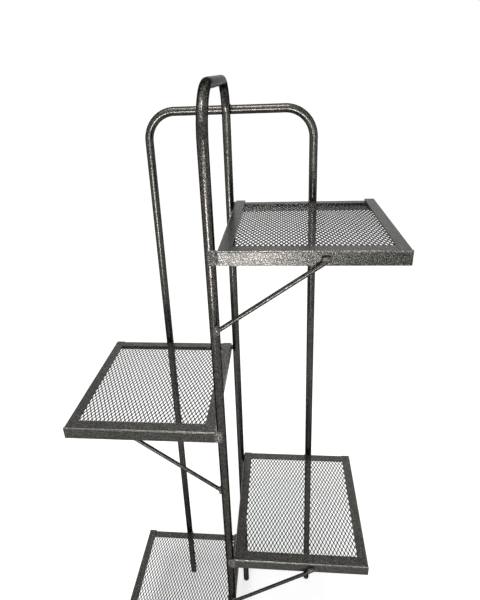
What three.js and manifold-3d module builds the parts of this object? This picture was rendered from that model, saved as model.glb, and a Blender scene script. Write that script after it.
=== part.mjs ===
// A four-tier plant stand of welded steel: two bent tube hoops carry four angle-iron shelves with
// expanded-metal decks, each propped by a round rod. The model is in millimetres. X runs across the
// stand, Y from the front to the back and Z up. While it is built, x = 0 is the centre hoop's plane,
// y = 0 is the front face of the shelves and z = 0 is the floor; at the end the whole stand is moved
// so that its origin is the middle of its footprint.
import * as THREE from "three";
import { mergeVertices } from "three/addons/utils/BufferGeometryUtils.js";
import Module from "manifold-3d";

const wasm = await Module();
wasm.setup();

// Driving dimensions.
const fit = 0.3; // the gap left between pieces that touch on the real stand
const tube = { diameter: 16, wall: 1.2, sides: 9 };
const angle = { frontLeg: 22.2, sideLeg: 19.3, rearLeg: 19, thick: 3, arris: 2.6, root: 2, toe: 1 };
const shelf = { width: 270, depth: 300 };
// One row for each tier, from the top: the side it stands on (+1 right, -1 left), the height of its top,
// the gap to the hoop's legs, how much wider than the others it was welded up, and how far its rear rail
// sits below the other three.
const tiers = [
  { name: "shelf1", side: 1, top: 1164, gap: 3, extra: 0, rearDrop: 3.3 },
  { name: "shelf2", side: -1, top: 834.5, gap: 3, extra: 1.5, rearDrop: 0.4 },
  { name: "shelf3", side: 1, top: 503, gap: 0.6, extra: -1.5, rearDrop: 0.4 },
  { name: "shelf4", side: -1, top: 187.4, gap: 2.5, extra: 0, rearDrop: 3.3 },
];
const centreHoop = { frontCrown: 1376, rearCrown: 1382, frontBend: 72, rearBend: 54 };
const rearHoop = {
  crown: 1331,
  bend: 53,
  crownSpan: 312,
  footSpan: 348,
  crownShift: 4,
  footShift: 8,
};
const bendSteps = 9;
const deck = { thick: 1.5, cellWide: 28, cellDeep: 48, strand: 2.8, lap: 11 };
const rod = { diameter: 7, sides: 12 };
// A brace on a right-hand shelf lies against the front of the leg and of the rail. One on a left-hand
// shelf butts on the side of the leg and runs up behind the rail. Drops are measured from the shelf's top.
const frontBrace = { footOut: 5, footDrop: 127, reach: 164, headDrop: 15 };
const rearBrace = { footOut: 4, footDrop: 146, reach: 168, headDrop: 15 };
const foot = { head: 4, edge: 0.8, stem: 15, ribs: 3, ribDepth: 1 };
const bead = { segments: 8, rings: 8 };
const cornerBead = { lap: 2.5, deep: 4.8, tall: 11.5, drop: 9, proud: 0.6 };
const rearBead = { deep: 4.5, tall: 5, drop: 6, spread: 1.8 };
const backBead = { wide: 3.4, deep: 2.6, tall: 7, drop: 10 };
const headBead = { along: 6.5, lap: 0.5, tall: 3.6, rise: 2.8 };
const footBead = { along: 4, lap: 2.5, rise: 4 };
const crownBead = { wide: 6.5, deep: 5.5, tall: 6, aside: 3, rise: 5 };

const tubeRadius = tube.diameter / 2;
const rodRadius = rod.diameter / 2;
const frontLegY = tubeRadius;
const rearLegY = shelf.depth - tubeRadius;
const rearHoopY = shelf.depth + fit + tubeRadius;
const tubeFoot = foot.head + fit;

const paint = new THREE.MeshStandardMaterial({ color: 0x4c4b49, roughness: 0.42, metalness: 0.55 });
const netPaint = new THREE.MeshStandardMaterial({ color: 0x454442, roughness: 0.5, metalness: 0.5 });
const weldPaint = new THREE.MeshStandardMaterial({ color: 0x5a5957, roughness: 0.38, metalness: 0.6 });
const plastic = new THREE.MeshStandardMaterial({ color: 0x161616, roughness: 0.6, metalness: 0 });

// Solids and meshes.

function solidOf(geometry) {
  const bare = geometry.index ? geometry.toNonIndexed() : geometry.clone();
  bare.deleteAttribute("normal");
  bare.deleteAttribute("uv");
  const merged = mergeVertices(bare, 1e-3);
  const { array } = merged.attributes.position;
  const mesh = new wasm.Mesh({
    numProp: 3,
    vertProperties: array,
    triVerts: new Uint32Array(merged.index.array),
  });
  return new wasm.Manifold(mesh);
}

function geometryOf(solid) {
  const { vertProperties, triVerts, numProp } = solid.getMesh();
  const geometry = new THREE.BufferGeometry();
  geometry.setAttribute("position", new THREE.BufferAttribute(vertProperties, numProp));
  geometry.setIndex(new THREE.BufferAttribute(triVerts, 1));
  const faceted = geometry.toNonIndexed();
  faceted.computeVertexNormals();
  return faceted;
}

function cut(geometry, cutters) {
  const rest = cutters.reduce((solid, cutter) => solid.subtract(solidOf(cutter)), solidOf(geometry));
  const pieces = rest.decompose().sort((a, b) => b.volume() - a.volume());
  return geometryOf(pieces[0]);
}

function named(name, geometry, material) {
  const mesh = new THREE.Mesh(geometry, material);
  mesh.name = name;
  return mesh;
}

function block(low, high) {
  const size = new THREE.Vector3().subVectors(high, low);
  const middle = new THREE.Vector3().addVectors(low, high).multiplyScalar(0.5);
  return new THREE.BoxGeometry(size.x, size.y, size.z).translate(middle.x, middle.y, middle.z);
}

// A round bar from one point to another.
function bar(start, end, radius, sides) {
  const run = new THREE.Vector3().subVectors(end, start);
  const turn = new THREE.Quaternion().setFromUnitVectors(
    new THREE.Vector3(0, 1, 0),
    run.clone().normalize(),
  );
  return new THREE.CylinderGeometry(radius, radius, run.length(), sides)
    .applyQuaternion(turn)
    .translate((start.x + end.x) / 2, (start.y + end.y) / 2, (start.z + end.z) / 2);
}

function lump(centre, radii) {
  return new THREE.SphereGeometry(1, bead.segments, bead.rings)
    .rotateX(Math.PI / 2)
    .scale(radii.x, radii.y, radii.z)
    .translate(centre.x, centre.y, centre.z);
}

// A line of stations, each a point and a direction, that a section is swept along. The stations need not
// be evenly spaced, so the straights cost one step each and the bends keep all the others.
class Stations extends THREE.Curve {
  constructor(stations) {
    super();
    this.stations = stations;
  }
  at(u) {
    return this.stations[Math.round(u * (this.stations.length - 1))];
  }
  getPointAt(u, target = new THREE.Vector3()) {
    return target.copy(this.at(u).point);
  }
  getTangentAt(u, target = new THREE.Vector3()) {
    return target.copy(this.at(u).direction);
  }
}

// The arc that rounds one corner, from the run that comes in to the run that goes out.
function bendStations(before, corner, after, radius) {
  const inward = new THREE.Vector3().subVectors(corner, before).normalize();
  const outward = new THREE.Vector3().subVectors(after, corner).normalize();
  const turn = inward.angleTo(outward);
  const setback = radius * Math.tan(turn / 2);
  const start = corner.clone().addScaledVector(inward, -setback);
  const axis = new THREE.Vector3().crossVectors(inward, outward).normalize();
  const centre = start.clone().addScaledVector(axis.clone().cross(inward), radius);
  return Array.from({ length: bendSteps + 1 }, (_, i) => {
    const swing = (turn * i) / bendSteps;
    return {
      point: start.clone().sub(centre).applyAxisAngle(axis, swing).add(centre),
      direction: inward.clone().applyAxisAngle(axis, swing),
    };
  });
}

// The line of a hoop through its four corners, rounded at the middle two.
function hoopStations([foot1, corner1, corner2, foot2], [bend1, bend2]) {
  const up = new THREE.Vector3().subVectors(corner1, foot1).normalize();
  const down = new THREE.Vector3().subVectors(foot2, corner2).normalize();
  return [
    { point: foot1, direction: up },
    ...bendStations(foot1, corner1, corner2, bend1),
    ...bendStations(corner1, corner2, foot2, bend2),
    { point: foot2, direction: down },
  ];
}

function sweep(section, stations) {
  return new THREE.ExtrudeGeometry(section, {
    steps: stations.length - 1,
    curveSegments: tube.sides,
    extrudePath: new Stations(stations),
  });
}

// A hoop is an open length of tube.
function hoopGeometry(stations) {
  const section = new THREE.Shape().absarc(0, 0, tubeRadius, 0, Math.PI * 2);
  section.holes.push(new THREE.Path().absarc(0, 0, tubeRadius - tube.wall, 0, Math.PI * 2));
  return sweep(section, stations);
}

// The room that a weld leaves round a hoop.
function hoopCutter(stations) {
  return sweep(new THREE.Shape().absarc(0, 0, tubeRadius + fit, 0, Math.PI * 2), stations);
}

// The two hoops.

function centreHoopStations() {
  const corners = [
    new THREE.Vector3(0, frontLegY, tubeFoot),
    new THREE.Vector3(0, frontLegY, centreHoop.frontCrown),
    new THREE.Vector3(0, rearLegY, centreHoop.rearCrown),
    new THREE.Vector3(0, rearLegY, tubeFoot),
  ];
  return hoopStations(corners, [centreHoop.frontBend, centreHoop.rearBend]);
}

// Where a leg of the rear hoop stands at a height: side is -1 for the left leg and +1 for the right.
function rearLegX(side, height) {
  const share = height / rearHoop.crown;
  const span = THREE.MathUtils.lerp(rearHoop.footSpan, rearHoop.crownSpan, share);
  const shift = THREE.MathUtils.lerp(rearHoop.footShift, rearHoop.crownShift, share);
  return shift + (side * span) / 2;
}

function rearHoopStations() {
  const at = (side, height) => new THREE.Vector3(rearLegX(side, height), rearHoopY, height);
  const corners = [
    at(-1, tubeFoot),
    at(-1, rearHoop.crown),
    at(1, rearHoop.crown),
    at(1, tubeFoot),
  ];
  return hoopStations(corners, [rearHoop.bend, rearHoop.bend]);
}

// The weld that ties the two hoops together, in the crook over the rear hoop's crown.
function makeCrownWeld() {
  const centre = new THREE.Vector3(crownBead.aside, shelf.depth, rearHoop.crown + crownBead.rise);
  const radii = new THREE.Vector3(crownBead.wide, crownBead.deep, crownBead.tall);
  const hoops = [hoopCutter(centreHoopStations()), hoopCutter(rearHoopStations())];
  return named("crown_weld", cut(lump(centre, radii), hoops), weldPaint);
}

// Ribbed plugs that close the ends of the four legs. The sole is flat on the floor.
function makeFoot(name, x, y) {
  const bore = tubeRadius - tube.wall - fit;
  const core = bore - foot.ribDepth;
  const pitch = foot.stem / (foot.ribs * 2 + 1);
  const profile = [
    new THREE.Vector2(0, 0),
    new THREE.Vector2(tubeRadius - foot.edge, 0),
    new THREE.Vector2(tubeRadius, foot.edge),
    new THREE.Vector2(tubeRadius, foot.head),
    new THREE.Vector2(core, foot.head),
  ];
  for (let rib = 0; rib < foot.ribs; rib += 1) {
    const low = foot.head + pitch * (rib * 2 + 1);
    profile.push(new THREE.Vector2(core, low), new THREE.Vector2(bore, low + pitch / 2));
    profile.push(new THREE.Vector2(core, low + pitch));
  }
  profile.push(new THREE.Vector2(0, foot.head + foot.stem));
  const geometry = new THREE.LatheGeometry(profile, tube.sides * 2).rotateX(Math.PI / 2);
  const mesh = named(name, geometry, plastic);
  mesh.position.set(x, y, 0);
  return mesh;
}

function makeFeet() {
  const grip = foot.head + foot.stem / 2;
  return [
    makeFoot("foot_front", 0, frontLegY),
    makeFoot("foot_middle", 0, rearLegY),
    makeFoot("foot_left", rearLegX(-1, grip), rearHoopY),
    makeFoot("foot_right", rearLegX(1, grip), rearHoopY),
  ];
}

// The shelves. Each is built in a group whose origin is the shelf's left front top corner.

// Angle iron along +Y, with its upright on the x = 0 side and its flange on top, running to +X. Grown by
// a clearance all round, it cuts room for itself in another piece.
function angleGeometry(leg, length, grow = 0) {
  const wide = leg + grow * 2;
  const thick = angle.thick + grow * 2;
  const arris = angle.arris + grow;
  const root = angle.root - grow;
  const toe = angle.toe + grow;
  const section = new THREE.Shape();
  section.moveTo(0, -arris);
  section.lineTo(0, -wide);
  section.lineTo(thick - toe, -wide);
  section.absarc(thick - toe, toe - wide, toe, -Math.PI / 2, 0, false);
  section.lineTo(thick, -thick - root);
  section.absarc(thick + root, -thick - root, root, Math.PI, Math.PI / 2, true);
  section.lineTo(wide - toe, -thick);
  section.absarc(wide - toe, toe - thick, toe, -Math.PI / 2, 0, false);
  section.lineTo(wide, 0);
  section.lineTo(arris, 0);
  section.absarc(arris, -arris, arris, Math.PI / 2, Math.PI, false);
  const depth = length + grow * 2;
  return new THREE.ExtrudeGeometry(section, { depth, curveSegments: 2, bevelEnabled: false })
    .rotateX(Math.PI / 2)
    .translate(-grow, length + grow, grow);
}

// A side rail butts on the back of the front rail's upright and runs to the shelf's rear face.
function sideRailGeometry(isRight, width, grow = 0) {
  const length = shelf.depth - angle.thick - fit;
  const geometry = angleGeometry(angle.sideLeg, length, grow);
  return isRight
    ? geometry.rotateZ(Math.PI).translate(width, shelf.depth, 0)
    : geometry.translate(0, shelf.depth - length, 0);
}

// The front rail's upright crosses the full width. Its flange is cut off where the side flanges end.
function frontRailGeometry(width) {
  const { frontLeg, sideLeg, thick } = angle;
  const rail = angleGeometry(frontLeg, width).rotateZ(Math.PI / 2).translate(width, 0, 0);
  const notches = [
    [-fit, sideLeg + fit],
    [width - sideLeg - fit, width + fit],
  ].map(([left, right]) =>
    block(new THREE.Vector3(left, thick, -frontLeg - fit), new THREE.Vector3(right, frontLeg + fit, fit)),
  );
  return cut(rail, notches);
}

// The rear rail fits between the side rails and is cut round whatever of them is in its way.
function rearRailGeometry(width, drop) {
  const rail = angleGeometry(angle.rearLeg, width).rotateZ(-Math.PI / 2).translate(0, shelf.depth, -drop);
  return cut(rail, [sideRailGeometry(false, width, fit), sideRailGeometry(true, width, fit)]);
}

// The diamond that one gap of the expanded metal leaves, as a prism that cuts through the sheet.
function diamond(x, y, wide, deep) {
  const outline = new THREE.Shape([
    new THREE.Vector2(x - wide / 2, y),
    new THREE.Vector2(x, y - deep / 2),
    new THREE.Vector2(x + wide / 2, y),
    new THREE.Vector2(x, y + deep / 2),
  ]);
  return new THREE.ExtrudeGeometry(outline, { depth: deck.thick * 3, bevelEnabled: false });
}

// Expanded metal cut from a larger sheet, so the diamonds run out through its edges. Rows of diamonds are
// staggered by half a pitch both ways, and the strand between two of them keeps one width.
function deckGeometry() {
  const margin = angle.rearLeg - deck.lap;
  const wide = shelf.width - margin * 2;
  const deep = shelf.depth - margin * 2;
  const columns = Math.round(wide / deck.cellWide);
  const rows = Math.round(deep / deck.cellDeep);
  const pitchX = wide / columns;
  const pitchY = deep / rows;
  const slant = Math.hypot(pitchX, pitchY);
  const openX = pitchX - (deck.strand * slant) / pitchY;
  const openY = pitchY - (deck.strand * slant) / pitchX;
  let sheet = solidOf(new THREE.BoxGeometry(wide, deep, deck.thick).translate(wide / 2, deep / 2, deck.thick / 2));
  for (let row = 0; row <= rows * 2; row += 1) {
    for (let column = (row + 1) % 2; column <= columns * 2; column += 2) {
      const gap = diamond((column * pitchX) / 2, (row * pitchY) / 2, openX, openY);
      sheet = sheet.subtract(solidOf(gap.translate(0, 0, -deck.thick)));
    }
  }
  return geometryOf(sheet).translate(margin, 0, -deck.thick);
}

// The deck lies under the front flange, midway between the side rails, and falls to the rear flange.
function makeDeck(tier, geometry) {
  const mesh = named(`${tier.name}_deck`, geometry.clone(), netPaint);
  const front = angle.rearLeg - deck.lap;
  mesh.position.set(tier.extra / 2, front, -angle.thick - fit);
  mesh.rotation.x = -Math.atan2(tier.rearDrop, shelf.depth - angle.rearLeg - front);
  return mesh;
}

// Positions round a shelf are worked out from the hoop's plane: out is the distance from it towards
// the shelf's far side, and turns into x by the side that the shelf stands on.
function fromHoop(tier, out, y, drop) {
  return new THREE.Vector3(tier.side * out, y, tier.top - drop);
}

function legCutter(tier, y) {
  const above = new THREE.Vector3(0, y, tier.top + shelf.depth);
  const below = new THREE.Vector3(0, y, tier.top - shelf.depth);
  return bar(above, below, tubeRadius + fit, tube.sides * 2);
}

// The block that the shelf's rails fill at its edges, with the gap that a weld keeps to them.
function shelfCutter(tier, top) {
  const inner = tier.side * (tubeRadius + tier.gap - fit);
  const outer = tier.side * (tubeRadius + tier.gap + shelf.width + tier.extra + fit);
  const low = new THREE.Vector3(Math.min(inner, outer), -fit, tier.top - shelf.depth);
  const high = new THREE.Vector3(Math.max(inner, outer), shelf.depth + fit, tier.top + top);
  return block(low, high);
}

// The room that a weld leaves round a brace, past its ends too.
function rodCutter({ low, high }) {
  const past = new THREE.Vector3().subVectors(high, low).setLength(fit);
  return bar(low.clone().sub(past), high.clone().add(past), rodRadius + fit, rod.sides);
}

function makeBrace(tier) {
  const isFront = tier.side > 0;
  const plan = isFront ? frontBrace : rearBrace;
  const y = isFront ? -rodRadius - fit : angle.thick + fit + rodRadius;
  const low = fromHoop(tier, plan.footOut, y, plan.footDrop);
  const high = fromHoop(tier, plan.reach, y, plan.headDrop);
  const geometry = cut(bar(low, high, rodRadius, rod.sides), [legCutter(tier, frontLegY)]);
  return { mesh: named(`${tier.name}_brace`, geometry, paint), low, high };
}

// The large bead across the front of the leg and the shelf's inner corner.
function makeFrontWeld(tier) {
  const middle = (tubeRadius + tier.gap) / 2;
  const centre = fromHoop(tier, middle, -cornerBead.proud, cornerBead.drop);
  const radii = new THREE.Vector3(middle + cornerBead.lap, cornerBead.deep, cornerBead.tall);
  const geometry = cut(lump(centre, radii), [legCutter(tier, frontLegY), shelfCutter(tier, shelf.depth)]);
  return named(`${tier.name}_front_weld`, geometry, weldPaint);
}

// The small bead in the slot between the rear leg and the shelf's inner rail.
function makeRearWeld(tier) {
  const centre = fromHoop(tier, tubeRadius + tier.gap / 2, rearLegY, rearBead.drop);
  const radii = new THREE.Vector3(tier.gap / 2 + rearBead.spread, rearBead.deep, rearBead.tall);
  const leg = legCutter(tier, rearLegY);
  const geometry = cut(lump(centre, radii), [leg, shelfCutter(tier, fit)]);
  return named(`${tier.name}_rear_weld`, geometry, weldPaint);
}

// The bead down the back of the rear rail, beside the leg of the rear hoop that it rests on.
function makeBackWeld(tier) {
  const height = tier.top - backBead.drop;
  const legX = rearLegX(tier.side, height);
  const centre = new THREE.Vector3(legX - tier.side * (tubeRadius - fit), shelf.depth + backBead.deep, height);
  const radii = new THREE.Vector3(backBead.wide, backBead.deep, backBead.tall);
  const geometry = cut(lump(centre, radii), [hoopCutter(rearHoopStations()), shelfCutter(tier, shelf.depth)]);
  return named(`${tier.name}_back_weld`, geometry, weldPaint);
}

// The bead on the upper side of a brace's top end, against the face of the rail that the brace lies on.
function makeHeadWeld(tier, brace) {
  const behind = angle.thick + fit;
  const wide = shelf.width * 2;
  const rail =
    tier.side > 0
      ? shelfCutter(tier, shelf.depth)
      : block(
          new THREE.Vector3(-wide, -shelf.depth, tier.top - shelf.depth),
          new THREE.Vector3(wide, behind, tier.top + shelf.depth),
        );
  const centre = brace.high.clone().setZ(brace.high.z + headBead.rise);
  const radii = new THREE.Vector3(headBead.along, rodRadius + headBead.lap, headBead.tall);
  const geometry = cut(lump(centre, radii), [rail, rodCutter(brace)]);
  return named(`${tier.name}_brace_head_weld`, geometry, weldPaint);
}

// The bead round a brace's foot, where the rod comes off the leg.
function makeFootWeld(tier, brace) {
  const run = new THREE.Vector3().subVectors(brace.high, brace.low);
  const out = tier.side > 0 ? brace.low.x : -tubeRadius;
  const centre = brace.low.clone().addScaledVector(run, (out - brace.low.x) / run.x);
  const radii = new THREE.Vector3(footBead.along, rodRadius + footBead.lap, rodRadius + footBead.rise);
  const geometry = cut(lump(centre, radii), [legCutter(tier, frontLegY), rodCutter(brace)]);
  return named(`${tier.name}_brace_foot_weld`, geometry, weldPaint);
}

function makeTier(tier, deckShape) {
  const isRight = tier.side > 0;
  const frame = new THREE.Group();
  const inner = tubeRadius + tier.gap;
  const width = shelf.width + tier.extra;
  frame.position.set(isRight ? inner : -inner - width, 0, tier.top);
  frame.add(named(`${tier.name}_inner_rail`, sideRailGeometry(!isRight, width), paint));
  frame.add(named(`${tier.name}_outer_rail`, sideRailGeometry(isRight, width), paint));
  frame.add(named(`${tier.name}_front_rail`, frontRailGeometry(width), paint));
  frame.add(named(`${tier.name}_rear_rail`, rearRailGeometry(width, tier.rearDrop), paint));
  frame.add(makeDeck(tier, deckShape));
  const brace = makeBrace(tier);
  const welds = [makeFrontWeld(tier), makeRearWeld(tier), makeBackWeld(tier)];
  return [frame, brace.mesh, ...welds, makeHeadWeld(tier, brace), makeFootWeld(tier, brace)];
}

const stand = new THREE.Group();
stand.add(named("centre_hoop", hoopGeometry(centreHoopStations()), paint));
stand.add(named("rear_hoop", hoopGeometry(rearHoopStations()), paint));
stand.add(makeCrownWeld(), ...makeFeet());
const deckShape = deckGeometry();
tiers.forEach((tier) => stand.add(...makeTier(tier, deckShape)));

const bounds = new THREE.Box3().setFromObject(stand, true);
const middle = bounds.getCenter(new THREE.Vector3());
stand.position.set(-middle.x, -middle.y, -bounds.min.z);

export default stand;
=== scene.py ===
# %% [markdown]
# # A welded steel plant stand
#
# Two bent tube hoops carry four angle-iron shelves with expanded-metal decks. A measured
# frame of plain solids says where each piece goes, and this file gives it its smooth,
# finished form and its hammered graphite paint. The pieces could be drawn by eye over a
# picture, but reading the frame puts each one on its measured solid. Lengths are in metres,
# +X right, +Y back and +Z up.

import math

import bmesh
import bpy
import numpy as np
from mathutils import Matrix, Vector, noise


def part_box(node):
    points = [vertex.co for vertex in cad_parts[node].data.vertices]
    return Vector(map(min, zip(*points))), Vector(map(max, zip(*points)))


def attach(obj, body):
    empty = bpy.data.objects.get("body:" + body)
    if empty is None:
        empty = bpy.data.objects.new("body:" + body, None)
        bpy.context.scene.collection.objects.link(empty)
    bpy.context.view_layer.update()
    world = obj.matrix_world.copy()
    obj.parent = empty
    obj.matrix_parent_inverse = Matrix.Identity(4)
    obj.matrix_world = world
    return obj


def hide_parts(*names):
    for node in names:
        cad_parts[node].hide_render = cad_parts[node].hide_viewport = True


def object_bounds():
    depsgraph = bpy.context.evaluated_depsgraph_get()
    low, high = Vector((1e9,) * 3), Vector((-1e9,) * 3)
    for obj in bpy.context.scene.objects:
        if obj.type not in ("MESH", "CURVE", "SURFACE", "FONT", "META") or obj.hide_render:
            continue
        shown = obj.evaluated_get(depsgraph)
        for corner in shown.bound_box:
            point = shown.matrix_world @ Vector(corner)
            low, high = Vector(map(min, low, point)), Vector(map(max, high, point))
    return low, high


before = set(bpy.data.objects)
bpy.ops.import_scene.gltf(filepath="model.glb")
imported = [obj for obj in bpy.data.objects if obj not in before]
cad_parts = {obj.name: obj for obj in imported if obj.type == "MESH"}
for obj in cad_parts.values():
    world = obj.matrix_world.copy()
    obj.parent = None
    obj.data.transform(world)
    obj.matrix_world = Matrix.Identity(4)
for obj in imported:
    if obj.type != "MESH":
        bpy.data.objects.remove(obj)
cad_bounds = [list(corner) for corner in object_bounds()]
print("frame nodes:", len(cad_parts), "box:", cad_bounds)

# %% [markdown]
# ## Sizes that several pieces share
#
# On the real stand the shelves hang on the legs, so a few planes place everything: the plane of
# the centre hoop, the front face of the shelves and their back. They could be typed in, but a box
# read off the frame can't go stale. Stock sizes, such as the tube's radius, are given, and so is
# what no box shows, such as the radius of a bend.

# %% Shared sizes
TIERS = ["shelf1", "shelf2", "shelf3", "shelf4"]
RIGHT_HAND = {"shelf1": True, "shelf2": False, "shelf3": True, "shelf4": False}
TUBE_RADIUS = 0.008
TINY = 1e-6  # places nearer to each other than this are one place
RIGHT, BACK, UP = Vector((1, 0, 0)), Vector((0, 1, 0)), Vector((0, 0, 1))

hoop_plane = sum(corner.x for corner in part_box("centre_hoop")) / 2
front_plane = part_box("shelf1_front_rail")[0].y
rear_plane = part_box("shelf1_outer_rail")[1].y
tube_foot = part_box("centre_hoop")[0].z
front_leg_y = front_plane + TUBE_RADIUS
rear_leg_y = rear_plane - TUBE_RADIUS
rear_hoop_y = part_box("rear_hoop")[1].y - TUBE_RADIUS
print("front plane", round(front_plane, 4), "rear plane", round(rear_plane, 4))

# %% [markdown]
# ## Meshes from rings
#
# Most parts of the stand are long bars and tubes with one outline all the way. Curve objects
# or primitives could make them, but they leave the faces to Blender. Here a ring is one
# outline of the piece, and faces bridge each ring to the next, which keeps every piece
# closed, light and evenly faced. Rounds are shaded smooth and true edges stay sharp.


# %% Shading and objects
def smooth_below(bm, degrees):
    """Shade the faces smooth, but keep every edge that turns more than this."""
    limit = math.radians(degrees)
    for face in bm.faces:
        face.smooth = True
    for edge in bm.edges:
        edge.smooth = len(edge.link_faces) == 2 and edge.calc_face_angle(0.0) < limit


def new_object(name, bm, smooth_angle=35.0):
    """Turn a bmesh into an object in the scene."""
    bmesh.ops.recalc_face_normals(bm, faces=bm.faces)
    smooth_below(bm, smooth_angle)
    mesh = bpy.data.meshes.new(name)
    bm.to_mesh(mesh)
    bm.free()
    piece = bpy.data.objects.new(name, mesh)
    bpy.context.scene.collection.objects.link(piece)
    return piece


# %% Rings
def bridge(bm, ring_a, ring_b):
    """Join two rings of vertices with four-sided faces."""
    count = len(ring_a)
    for i in range(count):
        j = (i + 1) % count
        bm.faces.new((ring_a[i], ring_a[j], ring_b[j], ring_b[i]))


def rings_to_bmesh(rings):
    """Bridge a row of rings, each a list of points, and close both ends."""
    bm = bmesh.new()
    rows = [[bm.verts.new(point) for point in ring] for ring in rings]
    for ring_a, ring_b in zip(rows, rows[1:]):
        bridge(bm, ring_a, ring_b)
    bm.faces.new(reversed(rows[0]))
    bm.faces.new(rows[-1])
    return bm


# %% [markdown]
# ### Fixing a piece to the stand
#
# On the real stand every piece is welded or pressed in place and nothing moves. The pieces could
# be joined into one mesh, but then no piece could be used or painted alone. So each one is its own
# object that rides on the one rigid body, and the measured nodes that it replaces are hidden.

# %% Settling a piece
pieces = []


def settle(piece, material, nodes):
    """Paint a piece, fix it to the stand and let it stand for its measured nodes."""
    piece.data.materials.clear()
    piece.data.materials.append(material)
    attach(piece, "root")
    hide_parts(*nodes)
    pieces.append(piece)


# %% [markdown]
# ## The hammered graphite paint
#
# The stand is coated in a hammer-finish enamel: a dark graphite paint whose silvery flake
# pulls into small rounded cells as it dries, so every surface sparkles at the scale of a
# couple of millimetres. A picture of the finish would show seams and smear on the bends. A
# pattern made by shader nodes wraps any shape, so the coat is all nodes, and three helpers
# keep their code short.


# %% Node helpers
def new_material(name):
    """A material that uses nodes, with its node tree and its main shader."""
    material = bpy.data.materials.new(name)
    material.use_nodes = True
    return material, material.node_tree, material.node_tree.nodes["Principled BSDF"]


def add_node(tree, kind, **inputs):
    """A shader node with these inputs set; an underscore stands for a space in a name."""
    node = tree.nodes.new("ShaderNode" + kind)
    for name, value in inputs.items():
        node.inputs[name.replace("_", " ")].default_value = value
    return node


def add_ramp(tree, source, stops):
    """Colour a signal by a ramp through these stops, each a position and a colour."""
    ramp = add_node(tree, "ValToRGB")
    elements = ramp.color_ramp.elements
    for index, (position, color) in enumerate((stops[0], stops[-1])):
        elements[index].position = position
        elements[index].color = (*color, 1.0)
    for position, color in stops[1:-1]:
        elements.new(position).color = (*color, 1.0)
    tree.links.new(source, ramp.inputs["Fac"])
    return ramp.outputs["Color"]


# %% [markdown]
# ### The cells
#
# Each cell of the real coat is a little raised pool of enamel with a crease round it. Plain
# noise has hills but no creases. A Voronoi texture measures the distance to scattered points,
# which is the shape of such a pool upside down, low in its middle and high at the crease. Its
# edges are too straight by themselves, so noise bends the place where it is looked up.

# %% Cells
WARP_SCALE = 0.6  # how many waves of the bending noise there are to a cell
WARP_REACH = 1.2  # how far the noise moves a point, in cells


def paint_cells(tree, place, cell):
    """The distance from the middle of the nearest cell."""
    warp = add_node(tree, "TexNoise", Scale=WARP_SCALE / cell, Detail=2.0)
    tree.links.new(place, warp.inputs["Vector"])
    bend = add_node(tree, "VectorMath")
    bend.operation = "MULTIPLY_ADD"
    bend.inputs[1].default_value = (cell * WARP_REACH,) * 3
    tree.links.new(warp.outputs["Color"], bend.inputs[0])
    tree.links.new(place, bend.inputs[2])
    cells = add_node(tree, "TexVoronoi", Scale=1.0 / cell)
    cells.feature = "SMOOTH_F1"
    cells.inputs["Smoothness"].default_value = 0.5
    tree.links.new(bend.outputs["Vector"], cells.inputs["Vector"])
    return cells.outputs["Distance"]


# %% [markdown]
# ### The colour
#
# Flake gathers in the middle of a cell and the creases stay dark. One flat colour with a bump
# would sparkle too, but it would lose its texture in soft light. So a ramp turns the cells,
# mixed with a finer grain, into three tones, and a slow drift over some centimetres keeps
# long bars from looking printed.

# %% Colour
FLAKE_AT, GROUND_AT, CREASE_AT = 0.24, 0.37, 0.55  # from the middle of a cell outward
GRAIN_SHARE = 0.4  # how much of the tone the finer grain decides
DRIFT_SCALE = 14.0  # waves to a metre, about
DRIFT_STOPS = [(0.35, (0.82, 0.82, 0.82)), (0.68, (1.0, 0.985, 0.965))]


def warm(level):
    """A dark tone a little warmer than grey, as the clear coat over the flake is."""
    return (level, level * 0.965, level * 0.89)


def paint_colour(tree, place, cells, grain, tones):
    """The colour of the coat, from its creases, ground and flake."""
    creases, ground, flake = [warm(tone) for tone in tones]
    blend = add_node(tree, "Mix")
    blend.data_type = "FLOAT"
    blend.inputs["Factor"].default_value = GRAIN_SHARE
    tree.links.new(cells, blend.inputs[2])
    tree.links.new(grain, blend.inputs[3])
    stops = [(FLAKE_AT, flake), (GROUND_AT, ground), (CREASE_AT, creases)]
    tone = add_ramp(tree, blend.outputs[0], stops)

    drift = add_node(tree, "TexNoise", Scale=DRIFT_SCALE, Detail=3.0)
    tree.links.new(place, drift.inputs["Vector"])
    drift_tone = add_ramp(tree, drift.outputs["Fac"], DRIFT_STOPS)
    tint = add_node(tree, "Mix")
    tint.data_type = "RGBA"
    tint.blend_type = "MULTIPLY"
    tint.inputs["Factor"].default_value = 1.0
    tree.links.new(tone, tint.inputs[6])
    tree.links.new(drift_tone, tint.inputs[7])
    return tint.outputs[2]


# %% [markdown]
# ### The shine
#
# Each pool of the coat catches a lamp by itself, which breaks a highlight into specks. Many
# tiny modelled dents would do that at a great cost in faces; a bump from the same cells does
# it in the shader. Metallic says how much of the coat is flake: the round tubes show long
# clear reflections, so they take more of it than the flat rails. Specular Tint darkens the
# reflection at the very edge of a round, as the tinted clear coat does.

# %% The whole coat
GRAIN_SCALE = 2.2  # how many grains there are to a cell


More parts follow.
